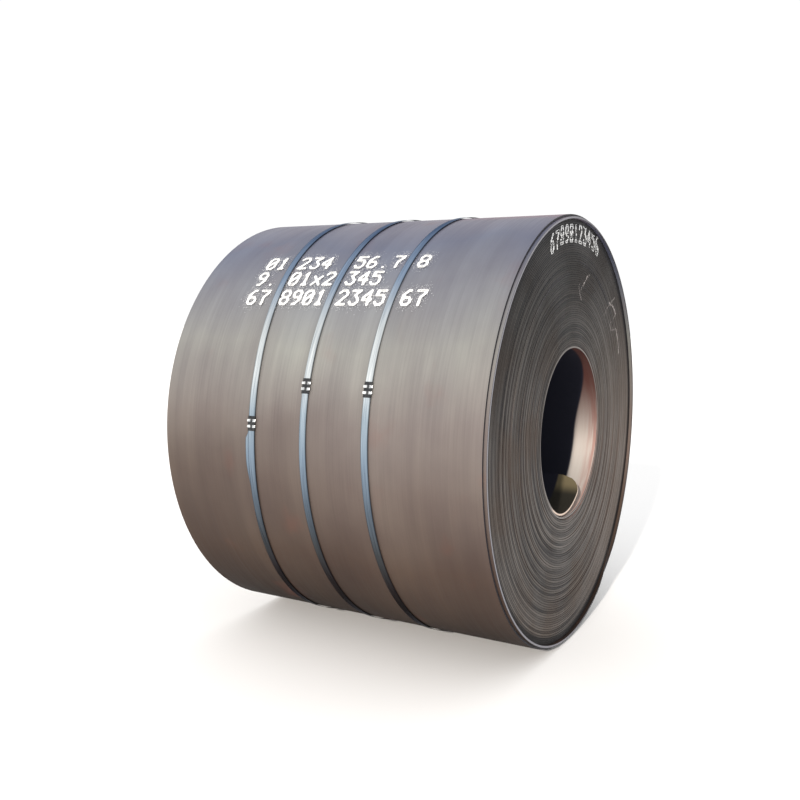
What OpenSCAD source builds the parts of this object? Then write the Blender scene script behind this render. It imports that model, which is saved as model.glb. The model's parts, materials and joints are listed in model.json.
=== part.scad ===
// Hot-rolled steel coil lying on its side, bound round its girth with sealed steel straps.
// The coil's axis runs along X. Z is up, Y runs from front to back, and the origin is on the
// floor under the middle of the coil. Angles round the axis start at the front and rise to 90
// at the top. The coil rests on its straps, as it does when it is set down on a hard floor.

/* [Strip] */
// Thickness of the rolled strip
strip_t = 9.5; // [6:0.1:12]
// Width of the strip from one mill edge to the other
strip_w = 1520; // [900:5:2000]
// Depth of the worn corner along each edge of the strip
edge_wear = 1.4; // [0.4:0.1:2]

/* [Coil] */
// Diameter of the bore, called the eye of the coil
bore_d = 762; // [508:1:920]
// Number of turns wound on
turns = 61; // [20:1:80]
// Air left between one turn and the next
turn_gap = 0.05; // [0:0.01:0.3]

/* [Wound ends] */
// How far the last turn but one stands out at the near end
rim_proud = 9; // [2:0.5:20]
// How far the outermost turn stands out at the near end
outer_proud = -4; // [-10:0.5:20]
// How far all the turns inside the rim sit back at the near end
set_back = 6; // [0:0.5:20]
// How far those turns wander to either side of their mean place
wander = 3; // [0.5:0.1:6]

/* [Straps] */
// Width of the strapping
strap_w = 32; // [16:1:40]
// Thickness of the strapping
strap_t = 1; // [0.5:0.1:1.5]
// Places of the straps along the coil, from its middle towards the near end
strap_x = [-302, -30, 268]; // [-400:1:400]
// Clearance between a strap and the coil that it holds
strap_seat = 0.2; // [0.1:0.05:0.5]

/* [Seals] */
// Places of the seals round the coil, one for each strap
seal_angle = [5, 15, 15]; // [-40:1:70]
// Length of a seal along its strap
seal_l = 62; // [40:1:80]
// Thickness of the seal's sheet
seal_t = 1.2; // [0.8:0.1:1.6]
// Clearance between a seal and the strap inside it
seal_clear = 0.4; // [0.2:0.1:1]
// Length of the strap's tail that shows past the seal
tail_l = 9; // [2:1:30]
// Length over which the strap lies double beyond the seal
lap_l = 110; // [40:5:200]
// Distance between the two crimp notches on each side of a seal
notch_pitch = 24; // [16:1:30]
// Length of a crimp notch, along the strap
notch_l = 7; // [3:0.5:10]
// Depth of a crimp notch, from the side of the seal
notch_depth = 3.5; // [2:0.5:5]

/* [Hidden] */
$fn = 180;

bore_r = bore_d / 2;
turn_pitch = strip_t + turn_gap;
coil_r = bore_r + turns * turn_pitch;
strap_r = coil_r + strap_seat;
lap_r = strap_r + strap_t;
lap_top_r = lap_r + strap_t;
axis_z = strap_r + strap_t;

// Sideways slip of each turn, counted from the innermost, and the middle of its range
function slip(i) =
    i == turns - 1 ? outer_proud :
    i == turns - 2 ? rim_proud :
    wander * (0.6 * sin(37 * i) + 0.4 * sin(101 * i)) - set_back;
slips = [for (i = [0 : turns - 1]) slip(i)];
slip_mid = (max(slips) + min(slips)) / 2;

function turn_r(i) = bore_r + i * turn_pitch;
function near_x(i) = strip_w / 2 + slips[i] - slip_mid;
function far_x(i) = near_x(i) - strip_w;
function arc_deg(length, r) = length / r * 180 / PI;

// Outline of one turn's edge, in radius and height: a flat between two worn corners
function near_edge(i) = [
    [turn_r(i), near_x(i) - edge_wear],
    [turn_r(i) + edge_wear, near_x(i)],
    [turn_r(i + 1) - edge_wear, near_x(i)],
    [turn_r(i + 1), near_x(i) - edge_wear]
];
function far_edge(i) = [
    [turn_r(i + 1), far_x(i) + edge_wear],
    [turn_r(i + 1) - edge_wear, far_x(i)],
    [turn_r(i) + edge_wear, far_x(i)],
    [turn_r(i), far_x(i) + edge_wear]
];

// Lays what is turned about Z along the coil's axis, with its start at the given angle
module round_coil(x, angle) {
    translate([x, 0, axis_z]) rotate([0, 90, 0]) rotate([0, 0, 270 - angle]) children();
}

// Band of the strapping's width that follows the coil down from its top angle
module band(x, inner_r, outer_r, top_angle, sweep) {
    round_coil(x, top_angle) rotate_extrude(angle = sweep)
        translate([inner_r, -strap_w / 2]) square([outer_r - inner_r, strap_w]);
}

module coil() {
    outline = [
        for (i = [0 : turns - 1]) each near_edge(i),
        for (i = [turns - 1 : -1 : 0]) each far_edge(i)
    ];
    color("dimgray") round_coil(0, 0) rotate_extrude() polygon(outline);
}

// One strap: a closed turn round the coil, doubled where its two ends lie on each other
module strap(i) {
    half_seal = seal_l / 2;
    top_angle = seal_angle[i] + arc_deg(half_seal + lap_l, lap_r);
    sweep = arc_deg(seal_l + tail_l + lap_l, lap_r);
    color("lightsteelblue") {
        band(strap_x[i], strap_r, lap_r, top_angle, 360);
        band(strap_x[i], strap_r + strap_t / 2, lap_top_r, top_angle, sweep);
    }
}

// One seal: a channel over the doubled strap, with two crimp notches cut in each side
module seal(i) {
    cavity_r = lap_top_r + seal_clear;
    cavity_w = strap_w + 2 * seal_clear;
    seal_w = cavity_w + 2 * seal_t;
    height = cavity_r + seal_t - strap_r;
    sweep = arc_deg(seal_l, cavity_r);
    color("silver") round_coil(strap_x[i], seal_angle[i]) difference() {
        rotate([0, 0, -sweep / 2]) rotate_extrude(angle = sweep) difference() {
            translate([strap_r, -seal_w / 2]) square([height, seal_w]);
            translate([strap_r - 1, -cavity_w / 2]) square([cavity_r - strap_r + 1, cavity_w]);
        }
        for (along = [-1, 1] * arc_deg(notch_pitch / 2, cavity_r), side = [-1, 1])
            rotate([0, 0, along]) translate([strap_r, 0, side * seal_w / 2])
                cube([4 * height, notch_l, 2 * notch_depth], center = true);
    }
}

module strap_left() strap(0);
module strap_middle() strap(1);
module strap_right() strap(2);
module seal_left() seal(0);
module seal_middle() seal(1);
module seal_right() seal(2);

coil();
strap_left();
strap_middle();
strap_right();
seal_left();
seal_middle();
seal_right();
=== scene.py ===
"""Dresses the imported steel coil: its wound strip, straps, seals and sprayed numbers.

Everything is in metres. The coil's axis runs along X, Z is up, and angles round the axis start at the
front (-Y) and rise to 90 degrees at the top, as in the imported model.
"""

import sys
import json
import logging
import math
import random
from collections.abc import Callable, Sequence
from dataclasses import dataclass, field
from enum import Enum

import bmesh
import bpy
import numpy as np
from mathutils import Matrix, Vector

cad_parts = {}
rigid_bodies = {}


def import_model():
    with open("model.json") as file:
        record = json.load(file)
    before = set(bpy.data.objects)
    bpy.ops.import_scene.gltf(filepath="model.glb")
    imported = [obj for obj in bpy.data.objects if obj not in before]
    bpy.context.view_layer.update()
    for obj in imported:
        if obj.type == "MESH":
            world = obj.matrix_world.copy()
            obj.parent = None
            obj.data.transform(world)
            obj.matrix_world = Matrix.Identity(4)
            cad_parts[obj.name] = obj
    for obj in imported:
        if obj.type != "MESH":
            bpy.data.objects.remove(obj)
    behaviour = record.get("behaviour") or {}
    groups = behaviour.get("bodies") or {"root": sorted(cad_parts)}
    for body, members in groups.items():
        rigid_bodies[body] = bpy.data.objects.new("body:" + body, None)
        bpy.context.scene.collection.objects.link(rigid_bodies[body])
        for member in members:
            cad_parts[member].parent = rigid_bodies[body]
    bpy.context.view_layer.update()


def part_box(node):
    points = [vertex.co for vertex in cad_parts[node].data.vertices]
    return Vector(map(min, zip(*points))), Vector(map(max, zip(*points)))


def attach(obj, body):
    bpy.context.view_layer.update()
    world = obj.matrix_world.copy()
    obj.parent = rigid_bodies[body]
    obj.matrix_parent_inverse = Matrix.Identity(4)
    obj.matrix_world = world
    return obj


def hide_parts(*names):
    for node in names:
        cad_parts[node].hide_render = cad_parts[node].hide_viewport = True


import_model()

MM = 0.001
BODY = "root"
# Corners of the section that swept_bar sweeps: a flat bar's four, each worn off to two.
SECTION_CORNERS = 8
log = logging.getLogger("steel_coil")


class Slot(Enum):
    """The record's material slots."""

    MILL_SCALE = "mill_scale_steel"
    STRAP = "strap_steel"
    SEAL = "seal_steel"


class Element(Enum):
    """What a selection in edit mode is made of."""

    VERT = "verts"
    EDGE = "edges"
    FACE = "faces"


# ---------------------------------------------------------------- modelling by hand


def deselect_all() -> None:
    """Clears the selection, so that an operator acts on the new piece alone."""
    for other in bpy.context.view_layer.objects.selected[:]:
        other.select_set(False)


def work_on(piece: bpy.types.Object) -> None:
    """Makes one piece the only selected and the active one.

    Args:
        piece: The piece to work on.
    """
    deselect_all()
    piece.select_set(True)
    bpy.context.view_layer.objects.active = piece


def pick(piece: bpy.types.Object, element: Element, test: Callable[[Vector], bool]) -> int:
    """Selects, in edit mode, only what has its middle where the test allows.

    Args:
        piece: The piece in edit mode.
        element: Whether corners, edges or faces are picked.
        test: Says of a middle point whether it is picked.

    Returns:
        How many were picked.
    """
    bpy.ops.mesh.select_mode(type=element.value[:-1].upper())
    bpy.ops.mesh.select_all(action="DESELECT")
    mesh = bmesh.from_edit_mesh(piece.data)
    found = 0
    for item in getattr(mesh, element.value):
        corners = [item.co] if element is Element.VERT else [v.co for v in item.verts]
        if test(sum(corners, Vector()) / len(corners)):
            item.select_set(True)
            found += 1
    mesh.select_flush_mode()
    bmesh.update_edit_mesh(piece.data)
    return found


def apply_modifier(piece: bpy.types.Object, kind: str, **settings: object) -> None:
    """Adds a modifier to a piece and applies it.

    Args:
        piece: The piece to change.
        kind: The modifier's type.
        **settings: Its settings by name.
    """
    work_on(piece)
    modifier = piece.modifiers.new(kind.lower(), kind)
    for name, value in settings.items():
        setattr(modifier, name, value)
    bpy.ops.object.modifier_apply(modifier=modifier.name)


def smooth_step(value: np.ndarray | float) -> np.ndarray:
    """Goes smoothly from 0 to 1 as the value does, and stays there.

    Args:
        value: Where along the step each point is.

    Returns:
        The height of the step at each point.
    """
    share = np.clip(value, 0.0, 1.0)
    return share * share * (3 - 2 * share)


def coordinates(mesh: bpy.types.Mesh) -> np.ndarray:
    """Reads the corners of a mesh as an array of one row each."""
    flat = np.empty(len(mesh.vertices) * 3, np.float64)
    mesh.vertices.foreach_get("co", flat)
    return flat.reshape(-1, 3)


def set_coordinates(mesh: bpy.types.Mesh, points: np.ndarray) -> None:
    """Writes the corners of a mesh from an array of one row each."""
    mesh.vertices.foreach_set("co", points.astype(np.float32).ravel())
    mesh.update()


def store(mesh: bpy.types.Mesh, name: str, values: np.ndarray) -> None:
    """Keeps one number for each corner of a mesh, for its finish to read."""
    mesh.attributes.new(name, "FLOAT", "POINT").data.foreach_set("value", values.astype(np.float32))


def swept_bar(name: str, width: float, thickness: float, corner: float, rings: int) -> bpy.types.Object:
    """Sweeps a flat section with worn corners into a closed bar, ready to be laid along a path.

    Args:
        name: The piece's name.
        width: Width of the section, along X.
        thickness: Thickness of the section.
        corner: Size of its worn corners.
        rings: How many sections follow each other along the bar.

    Returns:
        The bar. Its corners follow each other ring by ring, and the first ring shows its section.
    """
    deselect_all()
    bpy.ops.mesh.primitive_plane_add(size=1)
    bar = bpy.context.object
    bar.name = name
    bar.data.name = name
    bpy.ops.object.mode_set(mode="EDIT")
    bpy.ops.transform.resize(value=(width, thickness, 1))
    bpy.ops.mesh.bevel(offset=corner, affect="VERTICES")
    bpy.ops.mesh.delete(type="ONLY_FACE")
    bpy.ops.transform.translate(value=(0, thickness / 2, 0))
    bpy.ops.object.mode_set(mode="OBJECT")
    apply_modifier(
        bar, "SCREW", axis="X", angle=math.pi, screw_offset=1.0, steps=rings - 1, render_steps=rings - 1
    )
    bpy.ops.object.mode_set(mode="EDIT")
    bpy.ops.mesh.select_all(action="SELECT")
    bpy.ops.mesh.fill_holes(sides=SECTION_CORNERS)
    bpy.ops.object.mode_set(mode="OBJECT")
    return bar


@dataclass
class StripPath:
    """Where a strip's inner face runs, ring by ring.

    Attributes:
        foot: The Y and Z of the inner face at each ring.
        outward: The direction in Y and Z from the inner face to the outer one.
        shift: How far the strip is shifted along X at each ring.
        cut: How much is missing from each side of the strip's width at each ring.
    """

    foot: np.ndarray
    outward: np.ndarray
    shift: np.ndarray
    cut: np.ndarray


def lay_along(bar: bpy.types.Object, path: StripPath) -> None:
    """Lays a swept bar along its path and turns its faces outwards.

    Args:
        bar: What swept_bar made.
        path: Its path, with as many rings as the bar.
    """
    points = coordinates(bar.data)
    corners = len(points) // len(path.shift)
    section = points[:corners]
    ring = np.arange(len(points)) // corners
    across = np.tile(section[:, 0], len(path.shift))
    depth = np.tile(section[:, 1], len(path.shift))
    placed = np.empty_like(points)
    placed[:, 0] = across + path.shift[ring] - np.sign(across) * path.cut[ring]
    placed[:, 1:] = path.foot[ring] + path.outward[ring] * depth[:, None]
    set_coordinates(bar.data, placed)
    face_outwards(bar)


def face_outwards(piece: bpy.types.Object) -> None:
    """Turns every face of a closed piece outwards."""
    work_on(piece)
    bpy.ops.object.mode_set(mode="EDIT")
    bpy.ops.mesh.select_all(action="SELECT")
    bpy.ops.mesh.normals_make_consistent(inside=False)
    bpy.ops.object.mode_set(mode="OBJECT")


def smooth_shading(piece: bpy.types.Object, angle: float = 30) -> None:
    """Shades a piece smooth except where its faces meet at more than an angle in degrees."""
    work_on(piece)
    bpy.ops.object.shade_smooth_by_angle(angle=math.radians(angle))


def stamp(name: str, pattern: bpy.types.Object, places: Sequence[Matrix]) -> bpy.types.Object:
    """Joins many copies of a small pattern piece into one piece, and removes the pattern.

    Args:
        name: The joined piece's name.
        pattern: The piece that is copied.
        places: Where each copy goes.

    Returns:
        The joined piece.
    """
    corners = coordinates(pattern.data)
    faces = [list(polygon.vertices) for polygon in pattern.data.polygons]
    points = np.concatenate(
        [corners @ np.array(place.to_3x3()).T + np.array(place.translation) for place in places]
    )
    joined = bpy.data.meshes.new(name)
    joined.from_pydata(
        points.tolist(),
        [],
        [[index + copy * len(corners) for index in face] for copy in range(len(places)) for face in faces],
    )
    piece = bpy.data.objects.new(name, joined)
    bpy.context.scene.collection.objects.link(piece)
    bpy.data.objects.remove(pattern)
    bpy.context.view_layer.update()
    return piece


def finish_piece(
    piece: bpy.types.Object, materials: Sequence[bpy.types.Material]
) -> None:
    """Gives a piece its materials and its body, and reports it.

    Args:
        piece: The finished piece.
        materials: Its materials in the order of its faces' numbers.
    """
    for material in materials:
        piece.data.materials.append(material)
    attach(piece, BODY)
    triangles = sum(len(polygon.vertices) - 2 for polygon in piece.data.polygons)
    log.info("%s: %d triangles", piece.name, triangles)


# ---------------------------------------------------------------- finishes

Source = bpy.types.Node | bpy.types.NodeSocket | float | str


class Kind(Enum):
    """The kinds of shader node in use."""

    PLACE = "ShaderNodeTexCoord"
    ATTRIBUTE = "ShaderNodeAttribute"
    SEPARATE = "ShaderNodeSeparateXYZ"
    COMBINE = "ShaderNodeCombineXYZ"
    MATH = "ShaderNodeMath"
    NOISE = "ShaderNodeTexNoise"
    RAMP = "ShaderNodeValToRGB"
    RANGE = "ShaderNodeMapRange"
    MIX = "ShaderNodeMix"
    BUMP = "ShaderNodeBump"
    SURFACE = "ShaderNodeBsdfPrincipled"
    OUTPUT = "ShaderNodeOutputMaterial"


# A range that is held at both ends, and the two ways in which one colour goes over another.
SMOOTH = {"interpolation_type": "SMOOTHSTEP"}
COVER = {"data_type": "RGBA", "blend_type": "MIX"}
DARKEN = {"data_type": "RGBA", "blend_type": "MULTIPLY"}
# The inputs of a colour mix: how much of the upper colour there is, and the two colours.
SHARE = 0
UNDER = 6
OVER = 7


def linear(colour: str) -> tuple[float, float, float, float]:
    """Turns an sRGB hex colour into the linear one that a shader takes.

    Args:
        colour: The colour as #rrggbb.

    Returns:
        Red, green, blue and a full alpha.
    """
    parts = [int(colour[at : at + 2], 16) / 255 for at in (1, 3, 5)]
    red, green, blue = (c / 12.92 if c <= 0.04045 else ((c + 0.055) / 1.055) ** 2.4 for c in parts)
    return red, green, blue, 1.0


def feed(tree: bpy.types.NodeTree, node: bpy.types.Node, feeds: dict | Sequence) -> None:
    """Links or sets the inputs of a node.

    Args:
        tree: The material's node tree.
        node: The node.
        feeds: What its inputs get, by name or number, or in their order. A node stands for its first
            output in use, and a string is a hex colour.
    """
    for key, source in feeds.items() if isinstance(feeds, dict) else enumerate(feeds):
        if isinstance(source, bpy.types.Node):
            source = next(output for output in source.outputs if output.enabled)
        if isinstance(source, bpy.types.NodeSocket):
            tree.links.new(source, node.inputs[key])
        else:
            node.inputs[key].default_value = linear(source) if isinstance(source, str) else source


def add_node(
    tree: bpy.types.NodeTree, kind: Kind, feeds: dict | Sequence = (), **settings: object
) -> bpy.types.Node:
    """Adds one node with its settings and links.

    Args:
        tree: The material's node tree.
        kind: The node's kind.
        feeds: What its inputs get.
        **settings: The node's own settings. ramp is the places and hex colours of a colour ramp.

    Returns:
        The node.
    """
    node = tree.nodes.new(kind.value)
    for name, value in settings.items():
        if name == "ramp":
            elements = node.color_ramp.elements
            for _ in value[2:]:
                elements.new(0.5)
            for element, (place, colour) in zip(elements, value):
                element.position = place
                element.color = linear(colour)
        else:
            setattr(node, name, value)
    feed(tree, node, feeds)
    return node


def new_material(name: str) -> tuple[bpy.types.Material, bpy.types.NodeTree, bpy.types.Node]:
    """Makes an empty material with a Principled surface.

    Args:
        name: The material's name.

    Returns:
        The material, its node tree and its Principled node.
    """
    material = bpy.data.materials.new(name)
    material.use_nodes = True
    tree = material.node_tree
    tree.nodes.clear()
    surface = add_node(tree, Kind.SURFACE)
    add_node(tree, Kind.OUTPUT, {"Surface": surface})
    return material, tree, surface


@dataclass(frozen=True)
class RoundCoordinates:
    """Coordinates that follow the winding: along the axis, round it, up from the floor and forward.

    Attributes:
        along: Place along the coil's axis.
        angle: Angle round the axis in radians, from the front upwards.
        height: Height over the floor.
        forward: Distance in front of the axis.
    """

    along: Source
    angle: Source
    height: Source
    forward: Source

    @classmethod
    def of(cls, tree: bpy.types.NodeTree, axis_z: float) -> "RoundCoordinates":
        """Works the coordinates out from the piece's own place.

        Args:
            tree: The material's node tree.
            axis_z: Height of the coil's axis.

        Returns:
            The coordinates.
        """
        place = add_node(tree, Kind.PLACE).outputs["Object"]
        x, y, z = add_node(tree, Kind.SEPARATE, (place,)).outputs
        raised = add_node(tree, Kind.MATH, (z, axis_z), operation="SUBTRACT")
        forward = add_node(tree, Kind.MATH, (y, -1.0), operation="MULTIPLY")
        angle = add_node(tree, Kind.MATH, (raised, forward), operation="ARCTAN2")
        return cls(x, angle, z, forward)

    def grain(
        self, tree: bpy.types.NodeTree, across: float, along_strip: float, detail: float = 3
    ) -> bpy.types.Node:
        """A noise drawn out along the strip.

        Args:
            tree: The material's node tree.
            across: Size of the pattern across the strip, in metres.
            along_strip: Size of the pattern along the strip, in metres.
            detail: Detail of the noise.

        Returns:
            The noise node.
        """
        wide = add_node(tree, Kind.MATH, (self.along, 1 / across), operation="MULTIPLY")
        # The way round is followed as a cosine and a sine, so that the pattern has no seam.
        waves = [add_node(tree, Kind.MATH, (self.angle,), operation=wave) for wave in ("COSINE", "SINE")]
        ring = [add_node(tree, Kind.MATH, (wave, 1 / along_strip), operation="MULTIPLY") for wave in waves]
        vector = add_node(tree, Kind.COMBINE, (wide, *ring))
        return add_node(tree, Kind.NOISE, {"Vector": vector, "Scale": 1.0, "Detail": detail})


@dataclass(frozen=True)
class MillScale:
    """Blue-grey oxide skin of hot-rolled strip, with dust and painted shade growing towards the floor.

    Attributes:
        axis_z: Height of the coil's axis.
        name: The material's name.
        heights: Colours by height, as a share of the coil's: dust and painted shade low down, a painted sky
            reflection at the top.
        far_end_shade: Painted shade that darkens the low far end.
        grains: Width and length of the clouds, the bands and the roll marks, their detail and how dark each
            gets. The roll marks are drawn some ten times as wide as real ones so that they show.
        rust: Colour of the soft patches of light rust.
        patch: Width and length of a patch, about a palm across.
        crest_rust: Colour of the rust that reddens the crest near the marked end.
        dusty_from: Share of the height below which the dust is full and no metal shows through it.
        dusty_to: Share of the height above which there is none.
        roughness: Middle of the bare scale's roughness.
    """

    axis_z: float
    name: str = "hot_rolled_mill_scale"
    heights: tuple[tuple[float, str], ...] = (
        (0.06, "#2a1f18"),
        (0.24, "#56473d"),
        (0.42, "#71665f"),
        (0.56, "#827b76"),
        (0.72, "#93948f"),
        (0.82, "#86898e"),
        (0.92, "#6c7284"),
        (1.0, "#7a7885"),
    )
    far_end_shade: str = "#dcd7d2"
    grains: tuple[tuple[float, float, float, str], ...] = (
        (300 * MM, 500 * MM, 4, "#e3dfe4"),
        (60 * MM, 1200 * MM, 3, "#efeef0"),
        (6 * MM, 500 * MM, 3, "#f2f2f2"),
    )
    rust: str = "#7d4434"
    patch: tuple[float, float] = (220 * MM, 300 * MM)
    crest_rust: str = "#a8493c"
    dusty_from: float = 0.08
    dusty_to: float = 0.42
    roughness: float = 0.46

    def material(self) -> bpy.types.Material:
        """Builds the finish.

        Returns:
            The material.
        """
        material, tree, surface = new_material(self.name)
        around = RoundCoordinates.of(tree, self.axis_z)
        height = add_node(tree, Kind.MATH, (around.height, 0.5 / self.axis_z), operation="MULTIPLY")
        # The edge of the dust and painted shade drifts up and down by some 6 per cent of the height.
        drift = around.grain(tree, 500 * MM, 900 * MM, 2)
        shaken = add_node(tree, Kind.MATH, (drift, 0.12, height), operation="MULTIPLY_ADD")
        level = add_node(tree, Kind.MATH, (shaken, 0.06), operation="SUBTRACT")
        # Colours by height: dust and painted shade low down, a painted sky reflection at the top.
        shade = add_node(tree, Kind.RAMP, (level,), ramp=self.heights)
        # Painted shade darkens the far end below mid-height.
        near = add_node(tree, Kind.RANGE, (around.along, -0.8, 0.5, 0.0, 1.0), **SMOOTH)
        upper = add_node(tree, Kind.RANGE, (height, 0.42, 0.66, 0.0, 1.0), **SMOOTH)
        unshaded = add_node(tree, Kind.MATH, (near, upper), operation="MAXIMUM")
        far_end_painted_shade = add_node(tree, Kind.MIX, {SHARE: unshaded, UNDER: self.far_end_shade, OVER: "#ffffff"}, **COVER)
        shade = add_node(tree, Kind.MIX, {SHARE: 1.0, UNDER: shade, OVER: far_end_painted_shade}, **DARKEN)
        for across, along_strip, detail, darkest in self.grains:
            grain = around.grain(tree, across, along_strip, detail)
            tone = add_node(tree, Kind.RAMP, (grain,), ramp=((0.3, darkest), (0.7, "#ffffff")))
            shade = add_node(tree, Kind.MIX, {SHARE: 1.0, UNDER: shade, OVER: tone}, **DARKEN)
        patches = around.grain(tree, *self.patch, 5)
        bloom = add_node(tree, Kind.RANGE, (patches, 0.58, 0.78, 0.0, 0.16), **SMOOTH)
        shade = add_node(tree, Kind.MIX, {SHARE: bloom, UNDER: shade, OVER: self.rust}, **COVER)
        crest = add_node(tree, Kind.RANGE, (height, 0.978, 0.998, 0.0, 0.22), **SMOOTH)
        marked_end = add_node(tree, Kind.RANGE, (around.along, 0.0, 0.6, 0.0, 1.0), **SMOOTH)
        reddened = add_node(tree, Kind.MATH, (crest, marked_end), operation="MULTIPLY")
        shade = add_node(tree, Kind.MIX, {SHARE: reddened, UNDER: shade, OVER: self.crest_rust}, **COVER)
        polish_range = (grain, 0.3, 0.7, self.roughness - 0.05, self.roughness + 0.07)
        polish = add_node(tree, Kind.RANGE, polish_range, **SMOOTH)
        matt, bare = (
            add_node(tree, Kind.RANGE, (height, self.dusty_from, self.dusty_to, low, high), **SMOOTH)
            for low, high in ((0.32, 0.0), (0.02, 0.35))
        )
        roughness = add_node(tree, Kind.MATH, (polish, matt), operation="ADD")
        bump = add_node(tree, Kind.BUMP, {"Strength": 0.1, "Distance": 0.4 * MM, "Height": grain})
        feed(tree, surface, {"Base Color": shade, "Roughness": roughness, "Normal": bump, "Metallic": bare})
        feed(tree, surface, {"Specular IOR Level": 0.2})
        return material


@dataclass(frozen=True)
class StripEdge:
    """Rolled mill edges of the strip, side by side: each turn its own grey, grime and painted shade in the
    grooves between.

    Attributes:
        axis_z: Height of the coil's axis.
        turns: How many turns there are.
        name: The material's name.
        dark: Colour of the darkest turns.
        light: Colour of the lightest turns.
        brown: Colour of the stains.
        dusty: Colour of the dust on the back half.
        darker_by_height: What darkens the face, a little low down and more towards the top.
        groove: Colour of the grime and painted shade between the turns, and of the painted shadow in the
            corner under the rim.
        lip: Colour of the rim, the last turn but one, painted lit in front.
        shaded_lip: Its painted shade at the back.
        outermost: Colour of the outermost turn.
        first: Colour of the first turn.
        loose: Colour of the loose inner end, a painted highlight on its edge.
        roughness: Middle of the roughness.
    """

    axis_z: float
    turns: int
    name: str = "rolled_mill_edge"
    dark: str = "#201f22"
    light: str = "#6d6966"
    brown: str = "#5d5046"
    dusty: str = "#7a7069"
    darker_by_height: tuple[tuple[float, str], ...] = ((0.0, "#e2dedb"), (1.0, "#625e5b"))
    groove: str = "#0f0d10"
    lip: str = "#8d8c93"
    shaded_lip: str = "#3d3b3e"
    outermost: str = "#2a292e"
    first: str = "#7f7a77"
    loose: str = "#d9c4b4"
    roughness: float = 0.5

    def material(self) -> bpy.types.Material:
        """Builds the finish.

        Returns:
            The material.
        """
        material, tree, surface = new_material(self.name)
        around = RoundCoordinates.of(tree, self.axis_z)
        turn = add_node(tree, Kind.ATTRIBUTE, attribute_name="turn").outputs["Fac"]
        # One value for each turn: neighbours differ, and the change along a turn is slow.
        own = add_node(tree, Kind.NOISE, {"W": turn, "Scale": 3.6, "Detail": 4.0}, noise_dimensions="1D")
        shade = add_node(tree, Kind.RAMP, (own,), ramp=((0.36, self.dark), (0.64, self.light)))
        # Stains are about 300 mm across, and their edges are ragged.
        place = add_node(tree, Kind.PLACE).outputs["Object"]
        stains = add_node(tree, Kind.NOISE, {"Vector": place, "Scale": 3.2, "Detail": 4.0})
        stained = add_node(tree, Kind.RANGE, (stains, 0.45, 0.65, 0.05, 0.5), **SMOOTH)
        shade = add_node(tree, Kind.MIX, {SHARE: stained, UNDER: shade, OVER: self.brown}, **COVER)
        # Dust has settled on the back half and on the low turns, and evens them out.
        dust = add_node(tree, Kind.RANGE, (around.forward, -0.75, 0.15, 0.62, 0.0), **SMOOTH)
        shade = add_node(tree, Kind.MIX, {SHARE: dust, UNDER: shade, OVER: self.dusty}, **COVER)
        # The face gets darker towards its top.
        span = (around.height, 0.8 * self.axis_z, 1.85 * self.axis_z, 0.0, 1.0)
        darker_by_height = add_node(tree, Kind.RAMP, (add_node(tree, Kind.RANGE, span, **SMOOTH),), ramp=self.darker_by_height)
        shade = add_node(tree, Kind.MIX, {SHARE: 1.0, UNDER: shade, OVER: darker_by_height}, **DARKEN)
        # The last turn but one stands out as a lip, painted lit in front and shaded at the back, with a
        # painted shadow in the corner under it. The loose inner end's edge gets a painted highlight.
        front = add_node(tree, Kind.RANGE, (around.forward, -0.45, 0.15, 0.0, 1.0), **SMOOTH)
        lip = add_node(tree, Kind.MIX, {SHARE: front, UNDER: self.shaded_lip, OVER: self.lip}, **COVER)
        rim = self.turns - 1.4
        for start, end, low, high, colour in (
            (rim - 4.6, rim - 2.6, 0.0, 0.95, self.groove),
            (rim, rim + 0.03, 0.0, 0.9, lip),
            (rim + 1.0, rim + 1.03, 0.0, 0.95, self.outermost),
            (1.85, 1.9, 0.8, 0.0, self.first),
            (0.84, 0.86, 0.95, 0.0, self.loose),
        ):
            reached = add_node(tree, Kind.RANGE, (turn, start, end, low, high), **SMOOTH)
            shade = add_node(tree, Kind.MIX, {SHARE: reached, UNDER: shade, OVER: colour}, **COVER)
        # Grime and painted shade darken the grooves between the turns.
        inner = add_node(tree, Kind.ATTRIBUTE, attribute_name="groove").outputs["Fac"]
        painted_edge_shade = add_node(tree, Kind.RANGE, (inner, 0.1, 0.7, 0.0, 0.92), **SMOOTH)
        shade = add_node(tree, Kind.MIX, {SHARE: painted_edge_shade, UNDER: shade, OVER: self.groove}, **COVER)
        rough_range = (stains, 0.3, 0.7, self.roughness - 0.06, self.roughness + 0.1)
        roughness = add_node(tree, Kind.RANGE, rough_range, **SMOOTH)
        feed(tree, surface, {"Base Color": shade, "Roughness": roughness})
        feed(tree, surface, {"Metallic": 0.3, "Specular IOR Level": 0.15})
        return material


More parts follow.
